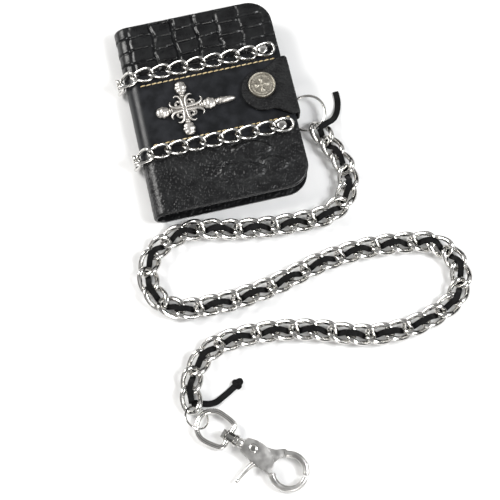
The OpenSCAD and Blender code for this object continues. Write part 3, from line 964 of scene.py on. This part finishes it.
@dataclass
class Ornament:
    """The cast cross: ribbed arms with flared tips, bulb ends and one long pointed end."""

    bulb: float = 3.7 * MM
    arm: float = 8.6 * MM
    rib: float = 0.8 * MM

    def __post_init__(self) -> None:
        """Finds the crossing from the CAD cross."""
        low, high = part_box("cross_ornament")
        self.floor = low.z
        self.centre = Vector((low.x + 17 * MM, (low.y + high.y) / 2, low.z))
        self.tip = high.x - self.centre.x

    def arms(self, mesh: bmesh.types.BMesh, turn: Matrix, stretch: float) -> None:
        """Adds one arm: two ribs that flare at the tip, a sunk web and two curls.

        Args:
            mesh: where it goes.
            turn: the arm's direction.
            stretch: how much longer this arm is than the shortest.
        """
        for side in (1, -1):
            reach = self.arm * stretch
            rib = [Vector((x, side * y, 1.7 * MM)) for x, y in
                   ((0.6 * MM, 0.9 * MM), (reach * 0.3, 1.0 * MM), (reach * 0.6, 1.25 * MM), (reach * 0.8, 1.9 * MM),
                    (reach * 0.94, 3.1 * MM), (reach * 0.97, 4.5 * MM), (reach * 0.9, 5.5 * MM))]
            path = [turn @ q for q in smooth_line(rib, 5)]
            add_tube(mesh, path, lambda q: self.rib * (1.05 - 0.75 * max(0, q - 0.55) / 0.45), 10, flat=1.25)
            middle = Vector((reach * 0.42, side * 3.4 * MM, 1.2 * MM))
            curl = [middle + Vector((1.7 * math.cos(a), side * 1.5 * math.sin(a), 0)) * MM
                    for a in np.linspace(-2.6, 1.9, 14)]
            add_tube(mesh, [turn @ q for q in curl], lambda q: 0.55 * MM * (1.1 - 0.4 * q), 8, flat=1.2)
            bead = Matrix.Translation(turn @ curl[-1]) @ Matrix.Scale(0.85 * MM, 4)
            bmesh.ops.create_icosphere(mesh, subdivisions=2, radius=1.0, matrix=bead)
        web = [Station(turn @ Vector((x, 0, 0.55 * MM)), turn.to_3x3() @ Vector((0, 1, 0)), Vector((0, 0, 1)),
                       1.2 * MM, 0.55 * MM) for x in (0.0, self.arm * stretch)]
        add_loft(mesh, web, 12, 4)

    def bulb_end(self, mesh: bmesh.types.BMesh, turn: Matrix, reach: float) -> None:
        """Adds a fluted bulb with its collars.

        Args:
            mesh: where it goes.
            turn: the arm's direction.
            reach: where the bulb's centre is along the arm.
        """
        rows, around = 16, 40
        stations = []
        for k in range(rows + 1):
            t = -1 + 2 * k / rows
            swell = math.sqrt(max(1 - t * t, 0.0)) * (1 + 0.08 * math.cos(3 * math.pi * t))
            x = reach + self.bulb * 1.12 * t
            r = max(self.bulb * 0.94 * swell, 0.02 * MM)
            stations.append(Station(turn @ Vector((x, 0, 1.8 * MM)), turn.to_3x3() @ Vector((0, 1, 0)),
                                    Vector((0, 0, 1)), r, r * 0.55))
        first = len(mesh.verts)
        add_loft(mesh, stations, around)
        mesh.verts.ensure_lookup_table()
        back = turn.inverted()
        for vert in mesh.verts[first:]:
            local = back @ vert.co
            a = math.atan2(local.z - 1.8 * MM, local.y)
            flute = 1 - 0.09 * max(0.0, math.cos(7 * a)) ** 3
            local.y *= flute
            local.z = 1.8 * MM + (local.z - 1.8 * MM) * flute
            vert.co = turn @ local
        axis = turn @ Matrix.Rotation(math.pi / 2, 4, "Y")
        for x, r in ((reach - self.bulb - 0.5 * MM, 1.75 * MM), (reach - self.bulb - 1.7 * MM, 1.45 * MM)):
            ring = [(x + a * MM, r * b) for a, b in ((-0.55, 0.7), (-0.3, 0.96), (0, 1), (0.3, 0.96), (0.55, 0.7))]
            place = axis.copy()
            place.translation = turn @ Vector((0, 0, 1.7 * MM))
            add_lathe(mesh, ring, place, 24)

    def build(self) -> None:
        """Makes the whole ornament."""
        mesh = bmesh.new()
        for quarter in range(4):
            turn = Matrix.Rotation(quarter * math.pi / 2, 4, "Z")
            self.arms(mesh, turn, 1.28 if quarter == 0 else 1.0)
            self.bulb_end(mesh, turn, 14.6 * MM if quarter == 0 else 13.1 * MM)
        axis = Matrix.Translation((0, 0, 1.9 * MM)) @ Matrix.Rotation(math.pi / 2, 4, "Y")
        start, end = 18.2 * MM, self.tip
        collars = in_mm([(0, 1.5), (0.5, 1.9), (1.3, 1.6), (1.8, 2.05), (2.8, 2.1), (3.0, 1.85), (3.3, 2.0)])
        bullet = [(start + along, radius) for along, radius in collars]
        bullet += [(start + 3.3 * MM + (end - start - 3.3 * MM) * t, 2.0 * MM * math.sqrt(1 - t**2.2))
                   for t in (0.2, 0.4, 0.6, 0.75, 0.87, 0.95, 0.99)]
        add_lathe(mesh, bullet, axis, 28)
        boss = in_mm([(0, 2.2), (1.2, 2.1), (1.9, 1.3), (2.1, 0.1)])
        add_lathe(mesh, boss, Matrix.Identity(4), 24)
        for vert in mesh.verts:
            vert.co.z = max(vert.co.z, 0.0)
        bmesh.ops.translate(mesh, vec=self.centre, verts=mesh.verts)
        piece = add_piece("cast_cross", mesh, Finish.ANTIQUE, 50)
        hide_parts("cross_ornament")
        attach(piece, "front")


@dataclass
class SnapStrap:
    """The strap that folds round the free edge, and its snap cap."""

    tip: float = 13 * MM
    thick: float = 2.2 * MM
    base: float = 7.7 * MM
    tucked: float = 34.6 * MM
    past_cap: float = 4.35 * MM

    def __post_init__(self) -> None:
        """Reads the strap's fold and the cap from the frame."""
        low, self.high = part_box("strap_leather")
        self.middle = (low.y + self.high.y) / 2
        self.half = (self.high.y - low.y) / 2
        self.cap_low, self.cap_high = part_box("snap_cap")
        self.tip_centre = self.cap_low.x - self.past_cap + self.tip

    def half_width(self, x: float) -> float:
        """Half the strap's width at x on the front: a round tip that widens to the full strap."""
        neck, full = self.tip_centre + 3 * MM, self.tip_centre + 13 * MM
        if x >= full:
            return self.half
        if x > neck:
            start = self.tip * 0.974
            return start + (self.half - start) * ((x - neck) / (full - neck)) ** 1.25
        return math.sqrt(max(self.tip**2 - (x - self.tip_centre) ** 2, 0.0))

    def bend(self, centre: Vector, angles: Iterable[float]) -> list[tuple[Vector, Vector]]:
        """Points and normals round one bend.

        Args:
            centre: the bend's middle.
            angles: where the points are, in degrees from +X to +Z.

        Returns:
            The points with their normals.
        """
        normals = [Vector((math.cos(q), 0, math.sin(q))) for q in map(math.radians, angles)]
        return [(centre + normal * (self.thick / 2), normal) for normal in normals]

    def build(self) -> None:
        """Makes the strap and the cap."""
        h = self.thick / 2
        edge, top = self.high.x - h, self.high.z - h
        down, out, up = Vector((0, 0, -1)), Vector((1, 0, 0)), Vector((0, 0, 1))
        path = [(Vector((x, 0, self.base)), down) for x in np.linspace(self.tucked, edge - h, 10)]
        path += self.bend(Vector((edge - h, 0, self.base + h)), np.linspace(-80, 0, 8))
        path += [(Vector((edge, 0, z)), out) for z in np.linspace(self.base + h, top - h, 7)[1:-1]]
        path += self.bend(Vector((edge - h, 0, top - h)), np.linspace(0, 90, 9))
        ways = [*np.linspace(edge - h, self.tip_centre, 26)[1:]]
        ways += [self.tip_centre - self.tip * math.sin(q) for q in np.linspace(0, math.pi / 2, 20)[1:]]
        path += [(Vector((x, 0, top)), up) for x in ways]
        mesh = bmesh.new()
        stations = []
        for point, normal in path:
            half = self.half
            if normal.z > 0.99:
                half = self.half_width(point.x)
            elif normal.z < -0.99:
                half -= 2 * MM
            centre = point + Vector((0, self.middle, 0))
            stations.append(Station(centre, Vector((0, 1, 0)), normal, max(half, 0.3 * MM), h))
        self.add_band(mesh, stations)
        piece = add_piece("snap_strap", mesh, Finish.STRAP, 60)
        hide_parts("strap_leather")
        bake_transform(piece)
        self.build_cap()

    def add_band(self, mesh: bmesh.types.BMesh, stations: Sequence[Station]) -> None:
        """Adds the strap's skin with a rounded, slightly proud edge.

        Args:
            mesh: where it goes.
            stations: its cross-sections.
        """
        across = 34
        rings = []
        for st in stations:
            ring = []
            for face in (1, -1):
                for k in range(across + 1):
                    q = face * (1 - 2 * k / across)
                    rim = (1 - abs(q)) * st.half_width
                    near = max(0.0, 1 - rim / (0.9 * MM))
                    grain = 0.0
                    if face > 0:
                        grain = 0.07 * MM * wave(st.centre.x + st.centre.z, q * st.half_width, 1.6 * MM, 9)
                    height = st.half_height * (1 - 0.55 * near**2) + grain * (1 - near) - 0.02 * MM
                    ring.append(mesh.verts.new(st.centre + st.side * (q * st.half_width) + st.up * (face * height)))
            rings.append(ring)
        join_rings(mesh, rings)

    def build_cap(self) -> None:
        """Makes the snap cap: a raised rim, a beaded ring and a four-leaf rosette."""
        low, high = self.cap_low, self.cap_high
        centre = (low + high) / 2
        radius = (high.x - low.x) / 2
        mesh = bmesh.new()
        around, rings = 96, []
        ways = [*np.linspace(0.02, 0.72, 20), *np.linspace(0.74, 1.0, 16)]
        for w in ways:
            ring = []
            for k in range(around):
                a = math.tau * k / around
                leaf = max(0.0, math.cos(4 * a)) ** 0.6
                petal = 0.5 * bell(w - 0.34, 0.17) * leaf + 0.22 * bell(w, 0.1)
                bead = 0.28 * bell(w - 0.68, 0.045) * (0.6 + 0.4 * math.cos(24 * a))
                rim = 0.8 * math.exp(-(((w - 0.9) / 0.07) ** 4))
                drop = 1.35 * max(0.0, (w - 0.955) / 0.045) ** 2
                h = 1.25 + petal + bead + rim - drop * 0.8
                ring.append(mesh.verts.new((centre.x + radius * w * math.cos(a), centre.y + radius * w * math.sin(a),
                                            low.z + h * MM)))
            rings.append(ring)
        rings.append([mesh.verts.new((v.co.x, v.co.y, low.z)) for v in rings[-1]])
        join_rings(mesh, rings)
        piece = add_piece("snap_rosette_cap", mesh, Finish.CAP, 50)
        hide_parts("snap_cap")
        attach(piece, "strap")


# ------------------------------------------------------------- rings and chain


@dataclass
class SplitRing:
    """A ring of flattened wire in two coils."""

    wire: float
    turns: float = 1.96

    def build(self, node: str, body: str) -> Axes:
        """Makes the ring.

        Args:
            node: the CAD ring that it stands for.
            body: the body that it moves with.

        Returns:
            How the ring lies.
        """
        lie = solids_of(node)[0]
        corners = [v.co - lie.centre for v in frame["nodes"][node].data.vertices]
        radius = max(math.sqrt(max(q.length_squared - q.dot(lie.normal) ** 2, 0)) for q in corners) - self.wire
        place, count = lie.matrix(), 150
        path = []
        for k in range(count):
            t = k / (count - 1)
            rise = self.wire * 0.52 * math.tanh((t - 0.5) * 14) if self.turns > 1 else 0.0
            a = math.tau * self.turns * t
            path.append(place @ Vector((radius * math.cos(a), radius * math.sin(a), rise)))
        mesh = bmesh.new()
        add_tube(mesh, path, self.wire * 0.82, 10, up=lie.normal, flat=0.56)
        piece = add_piece("coiled_" + node, mesh, Finish.NICKEL, 70)
        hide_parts(node)
        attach(piece, body)
        return lie


@dataclass
class WalletChain:
    """The long chain on the table, in ten runs, with a lace woven through it."""

    links: CurbLinks
    runs: int = 10
    pitch: float = 10.8 * MM
    lace_half: float = 1.8 * MM
    lace_thick: float = 1.0 * MM
    swing: float = 4.3 * MM
    first_hold: float = 0.3
    join_at: float = 0.36
    last_hold: float = 0.35
    line: list[Axes] | None = None

    def build(self, start: Vector) -> None:
        """Makes all links, the lace and its two tails.

        Args:
            start: a point near the first link.
        """
        self.line, self.first = [], []
        here = start
        for run in range(self.runs):
            left = self.links.build(f"chain_run_{run}", f"chain_{run}")
            self.first.append(len(self.line))
            while left:
                lie = min(left, key=lambda a: (a.centre - here).length)
                left.remove(lie)
                if lie.along.dot(lie.centre - here) < 0:
                    lie = Axes(lie.centre, -lie.along, -lie.across, lie.normal)
                self.line.append(lie)
                here = lie.centre
        self.first.append(len(self.line))
        for run in range(self.runs):
            self.build_lace(run)
        self.build_tails()

    def on_line(self, s: float) -> tuple[Vector, Vector]:
        """A point of the chain's middle line and the heading there.

        Args:
            s: the way along the chain, counted in links.

        Returns:
            The point and a level unit vector.
        """
        last = len(self.line) - 1
        i = min(int(s), last)
        ends = [self.line[j].centre - self.line[j].along * self.pitch / 2 for j in (i, min(i + 1, last))]
        if i == last:
            ends[1] = self.line[last].centre + self.line[last].along * self.pitch / 2
        j = min(max(int(math.floor(s - 0.5)), 0), last)
        mix = min(max(s - 0.5 - j, 0), 1)
        heading = self.line[j].along.lerp(self.line[min(j + 1, last)].along, mix).normalized()
        return ends[0].lerp(ends[1], s - i), heading

    def lace_point(self, s: float) -> Vector:
        """A point of the lace's middle line: it dips under and over the links in turn."""
        point, _ = self.on_line(s)
        c = math.cos(math.pi * s)
        return point + Vector((0, 0, self.swing * c * (1.5 - 0.5 * c * c)))

    def build_lace(self, run: int) -> None:
        """Makes the stretch of lace that moves with one run."""
        a = self.first[run] + (self.join_at if run else self.first_hold)
        b = self.first[run + 1] + (self.join_at if run + 1 < self.runs else -self.last_hold)
        count = int((b - a) * 12)
        stations = []
        for k in range(count + 1):
            s = a + (b - a) * k / count
            here, ahead = self.lace_point(s), self.lace_point(s + 0.01)
            _, heading = self.on_line(s)
            along = (ahead - here).normalized()
            side = Vector((-heading.y, heading.x, 0))
            width = self.lace_half * (1 - 0.04 * (1 + wave(s, run, 0.4, 2)))
            stations.append(Station(here, side, side.cross(along) * -1, width, self.lace_thick / 2))
        mesh = bmesh.new()
        add_loft(mesh, stations, 16, 4.5)
        piece = add_piece(f"suede_lace_{run}", mesh, Finish.SUEDE, 50)
        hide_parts(f"lace_{run}")
        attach(piece, f"chain_{run}")

    def tail(self, name: str, steps: Sequence[Point], origin: Vector, body: str, knot: bool) -> None:
        """Makes one free end of the lace.

        Args:
            name: the piece's name.
            steps: offsets in millimetres from the origin.
            origin: where the woven part ends.
            body: the body that it moves with.
            knot: whether it ends in a knot.
        """
        route = smooth_line([origin + Vector(q) * MM for q in steps], 4)
        stations = tube_stations(route, self.lace_half)
        for st in stations:
            st.half_height = self.lace_thick * 0.55
        mesh = bmesh.new()
        add_loft(mesh, stations, 14, 4)
        piece = add_piece(name, mesh, Finish.SUEDE, 50)
        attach(piece, body)
        length = sum((b - a).length for a, b in zip(route, route[1:]))
        if knot:
            self.knot(name + "_knot", route[-1], body)
        LOG.info("%s is %.1f mm long", name, length / MM)

    def knot(self, name: str, centre: Vector, body: str) -> bpy.types.Object:
        """Makes a pulled overhand knot.

        Args:
            name: the piece's name.
            centre: where it is.
            body: the body that it moves with.

        Returns:
            The piece.
        """
        path = []
        for k in range(72):
            t = math.tau * k / 72
            x = math.sin(t) + 2 * math.sin(2 * t)
            y = math.cos(t) - 2 * math.cos(2 * t)
            path.append(centre + Vector((0.85 * x, 0.85 * y, 0.9 - 0.95 * math.sin(3 * t))) * MM)
        mesh = bmesh.new()
        add_tube(mesh, path, 0.95 * MM, 10, closed=True, flat=0.9)
        piece = add_piece(name, mesh, Finish.SUEDE, 60)
        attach(piece, body)
        return piece

    def build_tails(self) -> None:
        """Makes both free ends of the lace."""
        near_ring = ((0, 0, 0), (2.6, 1.2, 0.6), (5.8, 2.6, -0.4), (9, 4.6, -3.4), (11.8, 7.6, -6.2),
                     (14, 11.2, -7.4), (15.4, 15.2, -7.5), (16, 19.4, -7.5), (16, 23.4, -7.5))
        near_hook = ((0, 0, 0), (3, -0.8, 1.2), (6.5, -2, 0.8), (10, -2.6, -0.6), (13.5, -2.2, -1.3),
                     (17, -0.6, -1.4), (20.5, 1.2, -1.4), (24, 3.2, -1.4), (27.5, 5.2, -1.4))
        start = self.lace_point(self.first_hold)
        end = self.lace_point(len(self.line) - self.last_hold)
        self.tail("lace_tail_near_ring", near_ring, start, "chain_0", False)
        self.tail("lace_tail_near_hook", near_hook, end, "chain_9", True)


@dataclass
class SnapHook:
    """The swivel snap hook, built along its own swivel axis."""

    wire: float = 1.6 * MM
    plate: float = 5.6 * MM
    slot: float = 2.4 * MM
    claw_x: float = 48.5 * MM
    claw_middle: float = 9.5 * MM
    rivet: tuple[float, float] = (25.5 * MM, 1 * MM)

    def __post_init__(self) -> None:
        """Reads the swivel's place and direction from the frame."""
        swivel = joint("hook_swivel")
        self.x = Vector(swivel["axis"]).normalized()
        y = Vector((-self.x.y, self.x.x, 0))
        turn = Matrix((self.x, y, Vector((0, 0, 1)))).transposed().to_4x4()
        self.place = Matrix.Translation(Vector(swivel["pos_m"])) @ turn
        self.axis = self.place @ Matrix.Rotation(math.pi / 2, 4, "Y")

    def add(self, name: str, mesh: bmesh.types.BMesh, finish: Finish, body: str, node: str, sharp: float = 40) -> None:
        """Names a piece, hides its CAD node and lets it ride."""
        piece = add_piece(name, mesh, finish, sharp)
        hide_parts(node)
        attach(piece, body)

    def build_eye(self) -> None:
        """Makes the D-shaped eye with its faceted barrel."""
        r = 8.9
        bow = [(r * math.cos(math.radians(a)), r * math.sin(math.radians(a))) for a in range(90, 271, 20)]
        side = [(5, -r + 0.4), (9, -r + 1.3), (10.4, -r + 3.2), (10.5, -3), (10.5, 0), (10.5, 3), (10.4, r - 3.2),
                (9, r - 1.3), (5, r - 0.4)]
        path = [self.place @ (q * MM) for q in rounded([*bow, *side], 6)]
        mesh = bmesh.new()
        add_tube(mesh, path, self.wire, 16, closed=True)
        barrel = [(8.1, 2.6), (8.6, 3.35), (9.2, 3.45), (9.6, 3.1), (13.6, 3.1), (14.0, 3.45), (14.6, 3.5)]
        add_lathe(mesh, in_mm(barrel), self.axis, 10)
        collar = [(14.5, 3.2), (14.6, 3.7), (15.2, 3.78), (15.9, 3.65), (16.0, 3.2)]
        add_lathe(mesh, in_mm(collar), self.axis, 36)
        self.add("forged_eye", mesh, Finish.NICKEL, "eye", "swivel_eye", 32)

    def claw(self, mesh: bmesh.types.BMesh, start: float, end: float, half_height: float, grow: float) -> None:
        """Adds a stretch of the round claw.

        Args:
            mesh: where it goes.
            start: its first angle in degrees.
            end: its last angle in degrees.
            half_height: half its thickness.
            grow: how much thicker it is where it starts.
        """
        stations = []
        for a in np.linspace(start, end, 40):
            q = math.radians(a)
            t = (a - start) / (end - start)
            out = Vector((math.cos(q), math.sin(q), 0))
            nose = math.sqrt(max(1 - max(0.0, (abs(2 * t - 1) - 0.93) / 0.07) ** 2, 0.02))
            width = 1.8 * MM * (1 + grow * (1 - t)) * nose
            centre = Vector((self.claw_x, 0, 0)) + out * self.claw_middle
            stations.append(Station(self.place @ centre, self.place.to_3x3() @ out, Vector((0, 0, 1)),
                                    width, half_height * nose))
        add_loft(mesh, stations, 18, 2.4)

    def build_body(self) -> None:
        """Makes the body: swivel stub, two cheeks and the fixed jaw."""
        mesh = bmesh.new()
        stub = [(16.2, 1.5), (16.3, 2.5), (16.8, 2.9), (18.2, 2.9), (18.9, 2.6), (19.6, 2.75), (20.6, 2.8)]
        add_lathe(mesh, in_mm(stub), self.axis, 32)
        outline = [(19.6, -2.8), (19.6, 3.6), (22, 5.1), (25.5, 5.8), (31, 5.4), (37.2, 2.4),
                   (39.6, -1.5), (40.4, -6.4), (38.8, -7), (35, -6.4), (27, -5.6), (22, -4.3)]
        shape = rounded(in_mm(outline), 5)
        half = self.plate / 2
        add_plate(mesh, shape, self.place, self.slot / 2, half, 0.5 * MM)
        add_plate(mesh, shape, self.place, -half, -self.slot / 2, 0.5 * MM)
        root = in_mm([(19.6, -2.6), (19.6, 3.2), (21.4, 4), (21.4, -3.4)])
        add_plate(mesh, [Vector((*q, 0)) for q in root], self.place, -half * 0.9, half * 0.9, 0.3 * MM)
        self.claw(mesh, 213, 372, self.plate * 0.43, 0.12)
        self.add("hook_cheeks_and_jaw", mesh, Finish.BRUSHED, "hook", "hook_body", 30)

    def build_rivet(self) -> None:
        """Makes the rivet, with a low dome on each side."""
        mesh = bmesh.new()
        half, out = self.plate / 2, 0.9 * MM
        dome = [(half + 0.02 * MM, 1.6 * MM), (half + 0.03 * MM, 2.5 * MM), (half + out * 0.4, 2.45 * MM),
                (half + out * 0.75, 2.0 * MM), (half + out * 0.95, 1.1 * MM), (half + out, 0.05 * MM)]
        profile = [(-h, r) for h, r in reversed(dome)] + dome
        add_lathe(mesh, profile, self.place @ Matrix.Translation((*self.rivet, 0)), 32)
        self.add("gate_rivet", mesh, Finish.NICKEL, "hook", "hook_rivet")

    def build_gate(self) -> None:
        """Makes the sprung jaw with its thumb lever."""
        mesh = bmesh.new()
        outline = [(22.8, -3.2), (24, 3.9), (29, 5), (36, 6.6), (40.6, 9.6), (43.4, 8.4), (41.2, 4.4), (39.2, 0.6),
                   (36, -3.6), (31, -7.2), (26, -5.4)]
        shape = rounded(in_mm(outline), 5)
        add_plate(mesh, shape, self.place, -1.0 * MM, 1.0 * MM, 0.3 * MM)
        self.claw(mesh, 134, 16, self.plate * 0.4, 0.1)
        tip = Vector((26.5, -18.5, 0))
        lever = [Vector((30, -4.5, 0)), Vector((28.4, -9, 0)), Vector((27.2, -14, 0)), tip]
        path = [self.place @ (q * MM) for q in smooth_line(lever, 6)]
        add_tube(mesh, path, lambda q: (1.6 - 0.6 * q) * MM, 14, flat=0.9)
        ball = self.place @ Matrix.Translation(tip * MM)
        bmesh.ops.create_uvsphere(mesh, u_segments=20, v_segments=12, radius=1.3 * MM, matrix=ball)
        self.add("gate_with_thumb_lever", mesh, Finish.BRUSHED, "gate", "hook_gate", 30)

    def build(self) -> None:
        """Makes the whole hook."""
        self.build_eye()
        self.build_body()
        self.build_rivet()
        self.build_gate()


# ---------------------------------------------------------------------- studio


@dataclass
class Studio:
    """A white table under soft lights, and the camera."""

    aim: Point = (3.3 * MM, -87.1 * MM, 0.0)
    eye: Point = (-40 * MM, -275 * MM, 673 * MM)
    view: float = math.radians(23.4)
    reach: float = 3.0

    def build(self) -> None:
        """Makes the table, the lights and the camera."""
        self.table()
        self.light("window", (-0.75, 0.45, 0.7), 0.5, 12.5, (1.0, 0.99, 0.97))
        self.light("softbox", (0.62, -0.3, 0.8), 0.4, 9.0, (0.98, 0.99, 1.0))
        self.light("strip", (0.1, -0.95, 0.45), 0.3, 3.0, (1.0, 0.98, 0.95))
        self.room()
        data = bpy.data.cameras.new("camera")
        data.angle = self.view
        camera = bpy.data.objects.new("camera", data)
        camera.location = self.eye
        camera.rotation_euler = (Vector(self.aim) - Vector(self.eye)).to_track_quat("-Z", "Y").to_euler()
        bpy.context.scene.collection.objects.link(camera)
        bpy.context.scene.camera = camera

    def table(self) -> None:
        """Makes the white table top."""
        mesh = bmesh.new()
        bmesh.ops.create_grid(mesh, x_segments=8, y_segments=8, size=self.reach)
        data = bpy.data.meshes.new("table")
        mesh.to_mesh(data)
        mesh.free()
        shader = Shader("white_table")
        paper = shader.grain(0.6 * MM, 2.0)
        rough = shader.spread(paper, 0.3, 0.7, (0.5, 0.6))
        data.materials.append(shader.finish({"Base Color": (0.84, 0.84, 0.84, 1), "Roughness": rough}))
        top = bpy.data.objects.new("table", data)
        top.location.z = -0.0002
        bpy.context.scene.collection.objects.link(top)

    def light(self, name: str, place: Point, size: float, power: float, colour: Point) -> None:
        """Adds an area light that faces the wallet.

        Args:
            name: its name.
            place: where it is, in metres.
            size: the side of its square.
            power: its power in watts.
            colour: its colour.
        """
        data = bpy.data.lights.new(name, "AREA")
        data.size, data.energy, data.color = size, power, colour
        lamp = bpy.data.objects.new(name, data)
        lamp.location = place
        lamp.rotation_euler = (Vector(self.aim) - Vector(place)).to_track_quat("-Z", "Y").to_euler()
        bpy.context.scene.collection.objects.link(lamp)

    @staticmethod
    def room() -> None:
        """Fills the room with soft light that is darker near the horizon and overhead."""
        shader = Shader("room", world=True)
        place = shader.node("TexCoord", output="Generated")
        height = shader.node("SeparateXYZ", {}, {"Vector": place}, "Z")
        greys = ((0.0, 0.03), (1.0, 0.28), (0.12, 0.01), (0.44, 0.03), (0.6, 0.95), (0.78, 0.85), (0.88, 0.32))
        stops = [(at, (grey, grey, grey)) for at, grey in greys]
        sky = shader.node("ValToRGB", {"stops": stops}, {"Fac": height})
        glow = shader.node("Background", {}, {"Color": sky, "Strength": 0.75})
        shader.node("OutputWorld", {}, {"Surface": glow})
        bpy.context.scene.world = shader.owner
        bpy.context.scene.view_settings.view_transform = "Standard"


def main() -> None:
    """Builds every sub-assembly in order."""
    logging.basicConfig(level=logging.INFO, format="%(name)s: %(message)s")
    Studio().build()
    chain = WalletChain(CurbLinks(long=7.3 * MM, wide=5.0 * MM, twist=2.1 * MM, wire=1.5 * MM))
    chain.build(SplitRing(wire=0.9 * MM).build("wallet_ring", "ring").centre)
    SplitRing(wire=0.7 * MM, turns=1.0).build("end_ring", "end_ring")
    SnapHook().build()
    Cover().build()
    stitching = Stitching()
    for node in ("stitch_upper", "stitch_lower"):
        stitching.build(node)
    cover_links = CurbLinks(long=6.5 * MM, wide=3.6 * MM, twist=1.8 * MM, wire=0.9 * MM, squeeze=1.0)
    for node, body in (("cover_chain_upper", "front"), ("cover_chain_lower", "front"), ("spine_links", "spine"),
                       ("corner_links", "corner")):
        cover_links.build(node, body)
    rivets = DomedRivets()
    rivets.build("cover_chain_rivets", "front", Vector((0, 0, 1)))
    rivets.build("spine_chain_rivets", "spine", Vector((-1, 0, 0)))
    Ornament().build()
    SnapStrap().build()
    Pages().build()


if __name__ == "__main__":
    main()
